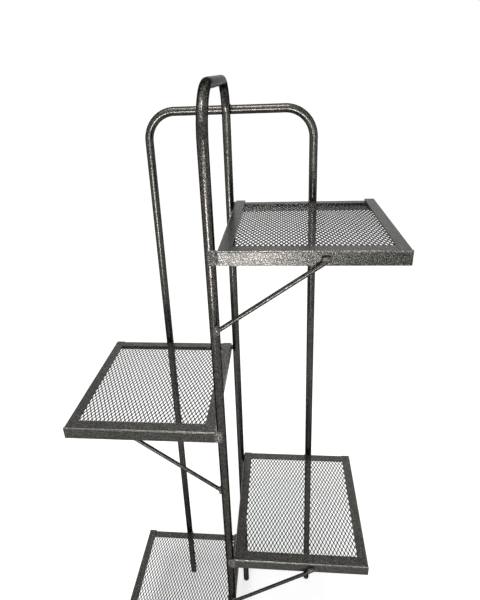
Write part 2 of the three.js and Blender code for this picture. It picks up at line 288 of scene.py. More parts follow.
def hammered_paint(name, tones, cell, relief, roughness, flake, edge=0.3):
    """A hammer finish: cells of light flake on dark enamel, with the bump that goes with them."""
    material, tree, shader = new_material(name)
    shader.inputs["Metallic"].default_value = flake
    shader.inputs["Specular Tint"].default_value = (edge, edge, edge, 1.0)

    place = add_node(tree, "TexCoord").outputs["Object"]
    cells = paint_cells(tree, place, cell)
    texture = add_node(tree, "TexNoise", Scale=GRAIN_SCALE / cell, Detail=3.0, Roughness=0.6)
    tree.links.new(place, texture.inputs["Vector"])
    grain = texture.outputs["Fac"]
    colour = paint_colour(tree, place, cells, grain, tones)
    tree.links.new(colour, shader.inputs["Base Color"])

    gloss = add_node(tree, "MapRange", To_Min=roughness[0], To_Max=roughness[1])
    tree.links.new(grain, gloss.inputs["Value"])
    tree.links.new(gloss.outputs["Result"], shader.inputs["Roughness"])

    bump = add_node(tree, "Bump", Strength=1.0, Distance=relief)
    bump.invert = True  # the distance is least where the pool is highest
    tree.links.new(cells, bump.inputs["Height"])
    tree.links.new(bump.outputs["Normal"], shader.inputs["Normal"])
    return material


# %% [markdown]
# ### Five coats
#
# The stand is sprayed all at once, but enamel pulls back from thin strands and piles up on rough
# weld metal, so the decks are darker and the beads lighter. The outer corners get a smoother coat
# that is also lighter: a painted highlight for the bright line that the light draws along them.
# One material with masks could do this too; named coats are easier to tune one at a time. The
# tones run from dark to light: the creases, the ground and the flake.

# %% Five coats
tube_paint = hammered_paint(
    "tube_paint", tones=(0.03, 0.1, 0.25), cell=0.0016, relief=0.00004,
    roughness=(0.16, 0.28), flake=0.97, edge=0.15,
)
rail_paint = hammered_paint(
    "rail_paint", tones=(0.022, 0.1, 0.31), cell=0.0017, relief=0.00008,
    roughness=(0.18, 0.31), flake=0.55,
)
# A lighter coat for the outer corners of the rails: a painted highlight for the bright line along
# each front edge, and a smoother one.
arris_highlight_paint = hammered_paint(
    "arris_highlight_paint", tones=(0.07, 0.22, 0.46), cell=0.002, relief=0.00003,
    roughness=(0.2, 0.3), flake=0.6,
)
deck_paint = hammered_paint(
    "deck_paint", tones=(0.014, 0.052, 0.14), cell=0.0016, relief=0.00006,
    roughness=(0.22, 0.36), flake=0.6,
)
weld_paint = hammered_paint(
    "weld_paint", tones=(0.05, 0.19, 0.44), cell=0.002, relief=0.0001,
    roughness=(0.2, 0.32), flake=0.4,
)
print("coats:", [material.name for material in bpy.data.materials if "_paint" in material.name])

# %% [markdown]
# ## The hoops
#
# Each hoop is one length of tube, bent at two corners. It could be a curve object with a
# round bevel. Here the rings are placed directly, because a station at each end of a straight
# and a fan of stations round a bend put the faces where the shape turns. The wall is real:
# the tube is hollow and its ends are open over the plugs.

# %% Stations along a bent tube
BEND_STEPS, LEG_STEPS, CROWN_STEPS = 28, 12, 6


def bend_stations(before, corner, after, radius):
    """Points and directions round one corner, from the end of one straight to the next."""
    inward = (corner - before).normalized()
    outward = (after - corner).normalized()
    turn = inward.angle(outward)
    start = corner - inward * (radius * math.tan(turn / 2))
    axis = inward.cross(outward).normalized()
    centre = start + axis.cross(inward) * radius
    stations = []
    for i in range(BEND_STEPS + 1):
        swing = Matrix.Rotation(turn * i / BEND_STEPS, 3, axis)
        stations.append((centre + swing @ (start - centre), swing @ inward))
    return stations


def straight_stations(start, end, steps):
    """Points and one direction between two ends, without the ends themselves."""
    run = (end - start).normalized()
    return [(start.lerp(end, i / steps), run) for i in range(1, steps)]


def hoop_stations(corners, radii):
    """Points and directions from one foot over the crown to the other foot."""
    foot_a, corner_a, corner_b, foot_b = corners
    bend_a = bend_stations(foot_a, corner_a, corner_b, radii[0])
    bend_b = bend_stations(corner_a, corner_b, foot_b, radii[1])
    first = [(foot_a, bend_a[0][1])]
    last = [(foot_b, bend_b[-1][1])]
    leg_a = straight_stations(foot_a, bend_a[0][0], LEG_STEPS)
    crown = straight_stations(bend_a[-1][0], bend_b[0][0], CROWN_STEPS)
    leg_b = straight_stations(bend_b[-1][0], foot_b, LEG_STEPS)
    return first + leg_a + bend_a + crown + bend_b + leg_b + last


# %% Bent tube
TUBE_WALL = 0.0012
TUBE_SIDES = 40


def circle(centre, run, across, radius, sides):
    """A ring of points square to a direction."""
    other = run.cross(across).normalized()
    points = []
    for i in range(sides):
        angle = 2 * math.pi * i / sides
        points.append(centre + (across * math.cos(angle) + other * math.sin(angle)) * radius)
    return points


def bent_tube(name, corners, radii, across):
    """A hollow tube, open at both ends, with its wall turned in at the ends."""
    bm = bmesh.new()
    outer, inner = [], []
    for point, run in hoop_stations(corners, radii):
        for rows, radius in ((outer, TUBE_RADIUS), (inner, TUBE_RADIUS - TUBE_WALL)):
            ring = circle(point, run, across, radius, TUBE_SIDES)
            rows.append([bm.verts.new(p) for p in ring])
    for ring_a, ring_b in zip(outer, outer[1:]):
        bridge(bm, ring_a, ring_b)
    for ring_a, ring_b in zip(inner, inner[1:]):
        bridge(bm, ring_b, ring_a)
    bridge(bm, inner[0], outer[0])
    bridge(bm, outer[-1], inner[-1])
    return new_object(name, bm)


# %% Centre hoop
CENTRE_CROWN = (1.376, 1.382)  # the height of the top tube at the front and at the rear
CENTRE_BENDS = (0.072, 0.054)  # the radius of the bend at the front and at the rear

centre_corners = [
    Vector((hoop_plane, front_leg_y, tube_foot)),
    Vector((hoop_plane, front_leg_y, CENTRE_CROWN[0])),
    Vector((hoop_plane, rear_leg_y, CENTRE_CROWN[1])),
    Vector((hoop_plane, rear_leg_y, tube_foot)),
]
centre_hoop = bent_tube("centre_hoop_tube", centre_corners, CENTRE_BENDS, RIGHT)
settle(centre_hoop, tube_paint, ["centre_hoop"])
print("centre hoop faces:", len(centre_hoop.data.polygons))

# %% [markdown]
# ### The splayed rear hoop
#
# The rear hoop's legs stand wider apart at the floor than under the crown, and the hoop was
# welded on a few millimetres off centre. Turning a straight hoop's legs afterwards would
# crease its bends, so the slant is worked out first and the tube runs along it.

# %% Rear hoop
REAR_CROWN = 1.331
REAR_BENDS = (0.053, 0.053)
REAR_SPANS = (0.348, 0.312)  # from leg to leg, at the floor and at the crown
REAR_SHIFTS = (0.008, 0.004)  # off the centre hoop's plane, at the same two heights


def rear_point(side, height):
    """A point on the middle line of one rear leg."""
    share = height / REAR_CROWN
    span = REAR_SPANS[0] + (REAR_SPANS[1] - REAR_SPANS[0]) * share
    shift = REAR_SHIFTS[0] + (REAR_SHIFTS[1] - REAR_SHIFTS[0]) * share
    return Vector((hoop_plane + shift + side * span / 2, rear_hoop_y, height))


rear_corners = [
    rear_point(-1, tube_foot),
    rear_point(-1, REAR_CROWN),
    rear_point(1, REAR_CROWN),
    rear_point(1, tube_foot),
]
rear_hoop = bent_tube("rear_hoop_tube", rear_corners, REAR_BENDS, BACK)
settle(rear_hoop, tube_paint, ["rear_hoop"])
print("rear hoop faces:", len(rear_hoop.data.polygons))

# %% [markdown]
# ## The shelf rails
#
# The rails are angle iron: an L of two flats with a rounded outer corner, a fillet in the
# root and eased toes. Two thin boxes would make an L too, but without those rounds, and it is
# the rounds that catch the light. So the outline is drawn once and swept along each rail.

# %% Angle section
RAIL_THICK = 0.003


def arc(cx, cz, radius, start, end, steps):
    """Points on part of a circle, its angles in degrees."""
    points = []
    for i in range(steps + 1):
        angle = math.radians(start + (end - start) * i / steps)
        points.append((cx + radius * math.cos(angle), cz + radius * math.sin(angle)))
    return points


def angle_section(leg, arris=0.0026, root=0.002, toe=0.001):
    """The L from its outer corner, with the upright on the left and the flange on top."""
    thick = RAIL_THICK
    outline = [(0.0, -leg)]
    outline += arc(thick - toe, toe - leg, toe, -90, 0, 4)
    outline += arc(thick + root, -thick - root, root, 180, 90, 6)
    outline += arc(leg - toe, toe - thick, toe, -90, 0, 4)
    outline += [(leg, 0.0)]
    outline += arc(arris, -arris, arris, 90, 180, 8)
    return outline


print("points in the L of a 20 mm rail:", len(angle_section(0.02)))


# %% Swept bar
STATION_STEP = 0.02  # how far the rings stand apart along a rail


def angle_bar(name, start, along, inward, length, leg):
    """A bar of angle from its outer corner at start, running along, with its flange inward."""
    section = angle_section(leg)
    stations = max(2, int(length / STATION_STEP))
    rings = []
    for i in range(stations + 1):
        origin = start + along * (length * i / stations)
        rings.append([origin + inward * u + UP * v for u, v in section])
    return new_object(name, rings_to_bmesh(rings), smooth_angle=30.0)


# %% [markdown]
# ### Sawn corners
#
# At a corner of the real shelf the flange of one rail is cut back so that its neighbour can
# lie in the corner. A sweep has one section all the way and can't do that. A Boolean modifier
# takes boxes out of the finished bar, as a saw would, and its result is kept as a plain mesh.


# %% Saw
def cut_boxes(piece, boxes):
    """Saw boxes out of a piece, and keep its smooth and sharp edges."""
    bm = bmesh.new()
    for low, high in boxes:
        for vert in bmesh.ops.create_cube(bm, size=1.0)["verts"]:
            vert.co = Vector([low[k] if vert.co[k] < 0 else high[k] for k in range(3)])
    mesh = bpy.data.meshes.new("saw")
    bm.to_mesh(mesh)
    bm.free()
    saw = bpy.data.objects.new("saw", mesh)
    bpy.context.scene.collection.objects.link(saw)
    modifier = piece.modifiers.new("cut", "BOOLEAN")
    modifier.object = saw
    modifier.operation = "DIFFERENCE"
    modifier.solver = "EXACT"
    bpy.context.view_layer.update()
    graph = bpy.context.evaluated_depsgraph_get()
    shaped = bpy.data.meshes.new_from_object(piece.evaluated_get(graph))
    piece.modifiers.clear()
    piece.data = shaped
    bpy.data.objects.remove(saw)


# %% [markdown]
# ### Eased edges
#
# A saw leaves a sharp end on the bar, and sanding and paint take its sharpness off. A Bevel
# modifier could do it, but a Boolean cut can leave doubled points that would spoil a bevel.
# So they are merged first, and the edges are bevelled in the mesh itself. Smooth shading
# would then bend over the flat faces beside each bevel, so a Weighted Normal modifier lets
# the large faces decide how the light falls on them.

# %% Ease the edges
EASE_WIDTH = 0.0005
EASE_ANGLE = 40.0  # an edge that turns more than this, in degrees, is a sharp one


def ease_edges(piece):
    """Take the sharpness off every edge, as dressed and coated steel has it."""
    bm = bmesh.new()
    bm.from_mesh(piece.data)
    bmesh.ops.remove_doubles(bm, verts=bm.verts, dist=TINY)
    limit = math.radians(EASE_ANGLE)
    sharp = [e for e in bm.edges if len(e.link_faces) == 2 and e.calc_face_angle(0.0) > limit]
    rounding = {"offset": EASE_WIDTH, "segments": 2, "profile": 0.6, "clamp_overlap": True}
    bmesh.ops.bevel(bm, geom=sharp, affect="EDGES", **rounding)
    smooth_below(bm, EASE_ANGLE)
    bm.to_mesh(piece.data)
    bm.free()
    flat = piece.modifiers.new("flat_faces", "WEIGHTED_NORMAL")
    flat.weight = 100
    flat.keep_sharp = True


# %% [markdown]
# ### The painted highlight on the corner line
#
# Along the front edge of each shelf the light draws a fine bright line, and here that line is also
# painted: the faces of a rail's outer corner get a lighter and smoother coat of their own, a
# painted highlight. A mask made from the shape's curvature would find every corner of the bar. The
# line belongs to one corner only, so the faces that look both up and outward get that coat.

# %% Corner line
LOOKS_OUT = 0.17  # the least of a corner face's normal that points up, and that points outward


def paint_arris_highlight(rail, inward):
    """Give the faces of a rail's outer corner their own lighter coat, a painted highlight."""
    rail.data.materials.append(arris_highlight_paint)
    for face in rail.data.polygons:
        if face.normal.z > LOOKS_OUT and face.normal.dot(inward) < -LOOKS_OUT:
            face.material_index = len(rail.data.materials) - 1


# %% [markdown]
# ### The four rails of each shelf
#
# The side rails run from front to back and the front rail laps their ends. The rear rail lies
# between them, and its flange is notched for theirs or set low enough to pass under. One
# shelf could be copied four times, but the real ones differ by a few millimetres, as welded
# things do. So each shelf is measured first, and its rails are made to those sizes.


# %% Measure a shelf
def shelf_sizes(tier):
    """The measured corners of one shelf."""
    left = "inner" if RIGHT_HAND[tier] else "outer"
    right = "outer" if RIGHT_HAND[tier] else "inner"
    left_box, right_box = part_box(f"{tier}_{left}_rail"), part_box(f"{tier}_{right}_rail")
    rear_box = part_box(f"{tier}_rear_rail")
    return {
        "left": left_box[0].x,
        "right": right_box[1].x,
        "top": left_box[1].z,
        "side_leg": left_box[1].z - left_box[0].z,
        "front_leg": right_box[1].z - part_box(f"{tier}_front_rail")[0].z,
        "rear_top": rear_box[1].z,
        "rear_leg": rear_box[1].z - rear_box[0].z,
        "left_name": f"{tier}_{left}_rail",
        "right_name": f"{tier}_{right}_rail",
    }


sizes = {tier: shelf_sizes(tier) for tier in TIERS}
for tier, size in sizes.items():
    print(tier, "top", round(size["top"], 4), "width", round(size["right"] - size["left"], 4))

# %% Side rails
GAP = 0.0003  # the fine gap that neighbours keep


def side_bars(size):
    """The left and the right rail, each with its node and the way that its flange points."""
    start_y = front_plane + RAIL_THICK + GAP
    bars = []
    for edge, inward in (("left", RIGHT), ("right", -RIGHT)):
        node = size[edge + "_name"]
        start = Vector((size[edge], start_y, size["top"]))
        bar = angle_bar(node + "_bar", start, BACK, inward, rear_plane - start_y, size["side_leg"])
        bars.append((node, bar, inward))
    return bars


# %% Front rail
SAW_PAST = 0.01  # how far a saw box stands out past the piece
SAW_DEEP = 0.03  # how far it reaches in, past the whole flange


def front_bar(tier, size):
    """The front rail, with its flange cut back at both ends for the side rails."""
    left, right, leg = size["left"], size["right"], size["side_leg"]
    node = f"{tier}_front_rail"
    start = Vector((left, front_plane, size["top"]))
    bar = angle_bar(node + "_bar", start, RIGHT, BACK, right - left, size["front_leg"])
    low, high = size["top"] - SAW_DEEP, size["top"] + SAW_PAST
    near, far = front_plane + RAIL_THICK, front_plane + SAW_DEEP
    left_box = ((left - SAW_PAST, near, low), (left + leg + GAP, far, high))
    right_box = ((right - leg - GAP, near, low), (right + SAW_PAST, far, high))
    cut_boxes(bar, [left_box, right_box])
    return node, bar, BACK


# %% Rear rail
SAME_HEIGHT = 1e-5  # heights closer than this are one height


def rear_bar(tier, size):
    """The rear rail; where it isn't set low, its flange is notched under the side rails."""
    left, right, leg = size["left"], size["right"], size["side_leg"]
    inset = RAIL_THICK + GAP
    node = f"{tier}_rear_rail"
    start = Vector((left + inset, rear_plane, size["rear_top"]))
    bar = angle_bar(node + "_bar", start, RIGHT, -BACK, right - left - 2 * inset, size["rear_leg"])
    under = size["top"] - RAIL_THICK - GAP
    if size["rear_top"] > under + SAME_HEIGHT:
        near, far, high = rear_plane - SAW_DEEP, rear_plane + SAW_PAST, size["top"] + SAW_PAST
        left_box = ((left, near, under), (left + leg + GAP, far, high))
        right_box = ((right - leg - GAP, near, under), (right, far, high))
        cut_boxes(bar, [left_box, right_box])
    return node, bar, -BACK


# %% All sixteen rails
for tier, size in sizes.items():
    rails = side_bars(size) + [front_bar(tier, size), rear_bar(tier, size)]
    for node, bar, inward in rails:
        ease_edges(bar)
        settle(bar, rail_paint, [node])
        # the outer corner of each rail gets its painted highlight
        paint_arris_highlight(bar, inward)
    print(tier, "rail faces:", sum(len(bar.data.polygons) for _, bar, _ in rails))

# %% [markdown]
# ## The expanded metal decks
#
# Expanded metal is one sheet that is slit and stretched. Each strand between two rows of
# slits is pulled into a zigzag: it touches its left neighbour, crosses over and touches its
# right neighbour, half a diamond further on. The stretch also twists it, so the joints
# stand up at a slant and the sheet isn't flat. A picture of diamonds on a flat sheet would
# have no edges to catch the light, so every strand is modelled, with its slant.

# %% One strand
DIAMOND_ACROSS = 0.0077
DIAMOND_ALONG = 0.0153
STRAND_WIDE = 0.0015
STRAND_THICK = 0.0012
STRAND_SLANT = math.radians(8)
STRAND_LAP = 0.52  # just over half, so that neighbours overlap a little at the joints
JOINT_SHARE = 0.16  # how much of a diamond's length the joint takes up


def strand_rings(x_mid, first_side, y_start, y_end):
    """The rings of one strand, from the front of the sheet to the back."""
    level, rise = math.cos(STRAND_SLANT), math.sin(STRAND_SLANT)
    reach = (DIAMOND_ACROSS / 2 - STRAND_WIDE * level) / 2
    lift = STRAND_WIDE * rise / 2
    half = DIAMOND_ALONG / 2
    wide = Vector((level, 0, rise)) * (STRAND_WIDE * STRAND_LAP)
    thick = Vector((-rise, 0, level)) * (STRAND_THICK / 2)
    corners = (wide + thick, thick - wide, -wide - thick, wide - thick)
    rings = []
    side = first_side
    for i in range(int(round((y_end - y_start) / half)) + 1):
        for offset in (-JOINT_SHARE / 2, JOINT_SHARE / 2):
            y = min(max(y_start + half * i + offset * DIAMOND_ALONG, y_start), y_end)
            if rings and abs(y - rings[-1][0].y) < TINY:
                continue
            centre = Vector((x_mid + side * reach, y, -side * lift))
            rings.append([centre + corner for corner in corners])
        side = -side
    return rings


# %% One sheet
def expanded_sheet(name, wide, deep):
    """A sheet centred on its own origin, in its own plane."""
    step = DIAMOND_ACROSS / 2
    count = int(wide / step)
    half_deep = int(deep / (DIAMOND_ALONG / 2)) * DIAMOND_ALONG / 4
    bm = bmesh.new()
    for k in range(count):
        x_mid = (k - (count - 1) / 2) * step
        rings = strand_rings(x_mid, 1 if k % 2 == 0 else -1, -half_deep, half_deep)
        rows = [[bm.verts.new(p) for p in ring] for ring in rings]
        for ring_a, ring_b in zip(rows, rows[1:]):
            bridge(bm, ring_a, ring_b)
        bm.faces.new(reversed(rows[0]))
        bm.faces.new(rows[-1])
    return new_object(name, bm, smooth_angle=20.0)


deck_low, deck_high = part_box("shelf1_deck")
pattern = expanded_sheet("deck_pattern", deck_high.x - deck_low.x, deck_high.y - deck_low.y)
sheet_mesh = pattern.data
bpy.data.objects.remove(pattern)
print("deck faces:", len(sheet_mesh.polygons))

# %% [markdown]
# ### Laying the decks
#
# Each deck is welded up under the flanges of its shelf, and where the rear rail sits low the
# deck slopes with it. Four sheets could be built, but they come from one stock, so one mesh
# is shared by four objects, each turned to its own slope.

# %% Four decks
DECK_DROP = 0.0013  # from the undersides of the flanges to the middle of the sheet


def make_deck(tier):
    """Lay the sheet under the flanges of one shelf, on its slope."""
    size = sizes[tier]
    low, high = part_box(f"{tier}_deck")
    front_z = size["top"] - RAIL_THICK
    rear_z = size["rear_top"] - RAIL_THICK
    tilt = math.atan2(rear_z - front_z, rear_plane - size["rear_leg"] - low.y)
    middle = Vector(((low.x + high.x) / 2, (low.y + high.y) / 2, 0))
    middle.z = front_z + math.tan(tilt) * (middle.y - low.y) - DECK_DROP
    piece = bpy.data.objects.new(f"{tier}_deck_mesh", sheet_mesh)
    bpy.context.scene.collection.objects.link(piece)
    piece.matrix_world = Matrix.Translation(middle) @ Matrix.Rotation(tilt, 4, "X")
    settle(piece, deck_paint, [f"{tier}_deck"])
    print(tier, "deck slope", round(math.degrees(tilt), 2), "degrees")


for tier in TIERS:
    make_deck(tier)

# %% [markdown]
# ## The braces
#
# Under each shelf a round rod runs from the front leg up to the front rail. On the right-hand
# shelves it lies on the front of both; on the left-hand shelves it butts on the side of the
# leg and goes up behind the rail. A plain cylinder would do for most of its length, but the
# shears that cut the rod pinch its ends, so it is drawn as rings that turn slightly flat over
# the last few millimetres.

# %% Where the rods run
ROD_RADIUS = 0.0035
ROD_SINK = 0.001  # how far the butted end runs into the round of the leg
# Both ends are measured outward from the centre hoop and down from the top of the shelf.
FRONT_BRACE = {"foot_out": 0.005, "foot_drop": 0.127, "reach": 0.164, "head_drop": 0.015}
REAR_BRACE = {"foot_out": 0.004, "foot_drop": 0.146, "reach": 0.168, "head_drop": 0.015}


def brace_ends(tier):
    """The lower and the upper end of one rod's middle line."""
    if RIGHT_HAND[tier]:
        plan, side = FRONT_BRACE, 1
        y = front_plane - ROD_RADIUS - GAP
        foot_out = plan["foot_out"]
    else:
        plan, side = REAR_BRACE, -1
        y = front_plane + RAIL_THICK + GAP + ROD_RADIUS
        foot_out = TUBE_RADIUS - ROD_SINK
    top = sizes[tier]["top"]
    share = (foot_out - plan["foot_out"]) / (plan["reach"] - plan["foot_out"])
    foot_drop = plan["foot_drop"] + (plan["head_drop"] - plan["foot_drop"]) * share
    low = Vector((hoop_plane + side * foot_out, y, top - foot_drop))
    high = Vector((hoop_plane + side * plan["reach"], y, top - plan["head_drop"]))
    return low, high


# %% Rods
ROD_STEPS, ROD_SIDES = 60, 24
PINCH, PINCH_REACH = 0.16, 0.004  # how flat the end is, and how far that fades in
END_SHARE = 0.86  # the end face is this much smaller than the rod, for an eased rim


def make_brace(tier):
    """One rod with pinched ends."""
    low, high = brace_ends(tier)
    length = (high - low).length
    run = (high - low).normalized()
    other = run.cross(BACK).normalized()
    rings = []
    for i in range(ROD_STEPS + 1):
        along = length * i / ROD_STEPS
        end = min(along, length - along)
        pinch = 1.0 - PINCH * math.exp(-end / PINCH_REACH)
        radius = ROD_RADIUS * (END_SHARE if end < TINY else 1.0)
        ring = []
        for k in range(ROD_SIDES):
            angle = 2 * math.pi * k / ROD_SIDES
            flat = BACK * (math.cos(angle) * pinch)
            tall = other * (math.sin(angle) / math.sqrt(pinch))
            ring.append(low + run * along + (flat + tall) * radius)
        rings.append(ring)
    piece = new_object(f"{tier}_brace_rod", rings_to_bmesh(rings))
    settle(piece, tube_paint, [f"{tier}_brace"])
    print(tier, "brace length", round(length, 4))


for tier in TIERS:
    make_brace(tier)

# %% [markdown]
# ## The welds
#
# A short weld cools as a small heap of overlapping puddles. A smooth ball would look like
# putty, so each bead starts as a fine ball, is stretched to its measured size and is then
# pushed in and out by noise: broad lumps for the puddles, fine ones for spatter.

# %% Ball to bead
BEAD_SMOOTH = 60.0  # a bead stays smooth over every fold up to this angle


def shape_bead(middle, place_of, subdivisions):
    """A fine ball whose points are moved by a rule, which turns a direction into a place."""
    bm = bmesh.new()
    bmesh.ops.create_icosphere(bm, subdivisions=subdivisions, radius=1.0)
    for vert in bm.verts:
        vert.co = middle + place_of(vert.co.normalized())
    return bm


# %% [markdown]
# ### The large welds at the front
#
# Where a shelf's front corner meets the front leg, one long upright bead runs down the crook
# and out over the rail's face. An egg shape would leave the corners of the crook empty, so
# this bead is pushed towards a box first, and a fine ripple marks each pass of the torch.

# %% Front welds
FRONT_WELD_HALF = (0.0080, 0.0040, 0.0121)
# Its middle is measured from the centre hoop, the front plane and the top of the shelf.
FRONT_WELD_ASIDE, FRONT_WELD_BEHIND, FRONT_WELD_DROP = 0.0048, 0.0014, 0.0105
FRONT_LUMPS = 230.0  # lumps of noise to a metre, about
LARGE_LUMP, SMALL_LUMP = 0.0011, 0.0004
SMALL_FINER = 2.7  # how many small lumps there are to a large one
RIPPLE_TURN, RIPPLE = 1900.0, 0.00022  # radians to a metre, and the height of a wave
WANDER_SCALE, WANDER = 0.6, 3.0  # noise that keeps the ripple's lines from being straight
BOXINESS = 3  # 2 would be an egg, and a larger number comes closer to a box


def make_front_weld(tier):
    """The large bead that fills the crook of leg and rail and runs out over the rail's face."""
    x = hoop_plane + (FRONT_WELD_ASIDE if RIGHT_HAND[tier] else -FRONT_WELD_ASIDE)
    top = sizes[tier]["top"]
    middle = Vector((x, front_plane + FRONT_WELD_BEHIND, top - FRONT_WELD_DROP))

    def place_of(way):
        """Stretch towards a box, then push out by the lumps and the ripple."""
        boxy = sum(abs(part) ** BOXINESS for part in way) ** (-1 / BOXINESS)
        point = Vector([way[k] * boxy * FRONT_WELD_HALF[k] for k in range(3)])
        seed = (point + middle) * FRONT_LUMPS
        wander = noise.noise(seed * WANDER_SCALE) * WANDER
        ripple = math.sin(point.z * RIPPLE_TURN + wander) * RIPPLE
        lumps = noise.noise(seed) * LARGE_LUMP + noise.noise(seed * SMALL_FINER) * SMALL_LUMP
        return point + way * (lumps + ripple)

    bm = shape_bead(middle, place_of, subdivisions=6)
    piece = new_object(f"{tier}_front_weld_bead", bm, BEAD_SMOOTH)
    settle(piece, weld_paint, [f"{tier}_front_weld"])
    print(tier, "front weld faces:", len(piece.data.polygons))


for tier in TIERS:
    make_front_weld(tier)

# %% [markdown]
# ### The small beads
#
# The other welds are short: behind each shelf, at both ends of each brace and where the hoops
# cross. They could all be one copied bead, but the noise is looked up at each bead's own
# place, so no two come out alike. A lump may not stand further forward than the stand was
# measured, so a bead that would do that is drawn in towards its back.

# %% Small beads
BEAD_LUMPS = 260.0  # lumps of noise to a metre, about
LUMP = 0.0009
SPATTER_FINER, SPATTER_SHARE = 3.1, 0.35  # how much finer and lower the spatter is
BEAD_GROW = 0.0006  # the skin stands out past the measured solid by this much


def make_bead(node):
    """A lumpy bead on the measured place of one weld."""
    low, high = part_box(node)
    middle = (low + high) / 2
    half = (high - low) / 2 + Vector((BEAD_GROW,) * 3)

    def place_of(way):
        """Stretch to the measured size, then push out by the lumps."""
        point = Vector([way[k] * half[k] for k in range(3)])
        seed = (point + middle) * BEAD_LUMPS
        spatter = noise.noise(seed * SPATTER_FINER) * LUMP * SPATTER_SHARE
        return point + way * (noise.noise(seed) * LUMP + spatter)

    bm = shape_bead(middle, place_of, subdivisions=5)
    front, limit = min(vert.co.y for vert in bm.verts), cad_bounds[0][1]
    if front < limit:
        draw_in = (high.y - limit) / (high.y - front)
        for vert in bm.verts:
            vert.co.y = high.y + (vert.co.y - high.y) * draw_in
    piece = new_object(node + "_bead", bm, BEAD_SMOOTH)
    settle(piece, weld_paint, [node])


BEADS_OF_A_SHELF = ("rear_weld", "back_weld", "brace_head_weld", "brace_foot_weld")
beads = ["crown_weld"] + [f"{tier}_{place}" for tier in TIERS for place in BEADS_OF_A_SHELF]
for node in beads:
    make_bead(node)
print("small beads:", len(beads))

# %% [markdown]
# ## The feet
#
# A ribbed plug of black plastic closes the foot of each leg. Its skin has the faint grain of
# its mould. One flat black would look like a hole under the leg, so a fine noise drives both
# a small change of tone and a shallow bump.


# %% Plug material
def moulded_plastic(name):
    """Matt black plastic with a fine grain."""
    material, tree, shader = new_material(name)
    shader.inputs["Roughness"].default_value = 0.6
    place = add_node(tree, "TexCoord").outputs["Object"]
    grain = add_node(tree, "TexNoise", Scale=900.0)
    tree.links.new(place, grain.inputs["Vector"])
    stops = [(0.0, (0.012, 0.012, 0.012)), (1.0, (0.03, 0.03, 0.03))]
    tone = add_ramp(tree, grain.outputs["Fac"], stops)
    tree.links.new(tone, shader.inputs["Base Color"])
    bump = add_node(tree, "Bump", Strength=0.4, Distance=0.0001)
    tree.links.new(grain.outputs["Fac"], bump.inputs["Height"])
    tree.links.new(bump.outputs["Normal"], shader.inputs["Normal"])
    return material


plug_plastic = moulded_plastic("plug_plastic")
print("plug material:", plug_plastic.name)

# %% [markdown]
# ### The plugs
#
# Only the flat head of a plug shows, a thin disc with an eased edge; its ribs grip the bore
# of the tube. A stack of cylinders would make it in steps. A turned shape is closed in one
# go, so its outline is swept round its axis, ribs and all.

# %% Plug outline
PLUG_HEAD = 0.004
PLUG_STEM = 0.015
PLUG_EDGE = 0.0008  # the radius of the eased edge
PLUG_EDGE_FROM, PLUG_EDGE_POINTS = 0.4, 5  # where on its quarter circle the round starts
PLUG_FLAT_INSET = 0.0012  # where the flat on the floor ends, inside the tube's outline
RIBS, RIB_DEPTH = 3, 0.001
PLUG_SIDES = 40


def plug_outline():
    """Radius and height of the plug, from the floor up its head and its ribbed stem."""
    bore = TUBE_RADIUS - TUBE_WALL - GAP
    core = bore - RIB_DEPTH
    outline = [(TUBE_RADIUS - PLUG_FLAT_INSET, 0.0)]
    for angle in np.linspace(PLUG_EDGE_FROM, math.pi / 2, PLUG_EDGE_POINTS):
        radius = TUBE_RADIUS - PLUG_EDGE + PLUG_EDGE * math.sin(angle)
        outline.append((radius, PLUG_EDGE - PLUG_EDGE * math.cos(angle)))
    outline += [(TUBE_RADIUS, PLUG_HEAD), (core, PLUG_HEAD)]
    pitch = PLUG_STEM / (2 * RIBS + 1)
    for rib in range(RIBS):
        base = PLUG_HEAD + pitch * (rib * 2 + 1)
        outline += [(core, base), (bore, base + pitch / 2), (core, base + pitch)]
    return outline + [(core, PLUG_HEAD + PLUG_STEM)]


print("points in the plug's outline:", len(plug_outline()))


# %% Plugs
def make_plug(node):
    """One plug, standing on the floor under its leg."""
    low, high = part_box(node)
    centre = (low + high) / 2
    rings = []
    for radius, height in plug_outline():
        middle = Vector((centre.x, centre.y, low.z + height))
        rings.append(circle(middle, UP, RIGHT, radius, PLUG_SIDES))
    piece = new_object(node + "_plug", rings_to_bmesh(rings), smooth_angle=30.0)
    settle(piece, plug_plastic, [node])
    print(node, "at", round(centre.x, 4), round(centre.y, 4))


for node in ("foot_front", "foot_middle", "foot_left", "foot_right"):
    make_plug(node)

# %% [markdown]
# ## Floor
#
# The stand is shown on white with a faint shadow. A floor that is simply invisible would lose
# the shadow that sets the feet down. This one is a wide pale sheet that takes shadows. The
# rays that look at it, straight or in a reflection, see it brighter, so it meets the white
# background without a line, while the soft light it throws up stays that of its own tone.

# %% Floor
WHITE = (1.0, 1.0, 1.0, 1.0)
FLOOR_TONE = (0.76, 0.76, 0.756, 1.0)
FLOOR_LIFT = 0.57  # what is added to the look of the floor, up to the white behind it
FLOOR_DROP = 0.0002  # how far it lies under the feet
FLOOR_RADIUS = 30.0


def either(tree, first, second):
    """The larger of two signals: 1 when a ray is of either kind."""
    node = add_node(tree, "Math")
    node.operation = "MAXIMUM"
    tree.links.new(first, node.inputs[0])
    tree.links.new(second, node.inputs[1])
    return node.outputs[0]


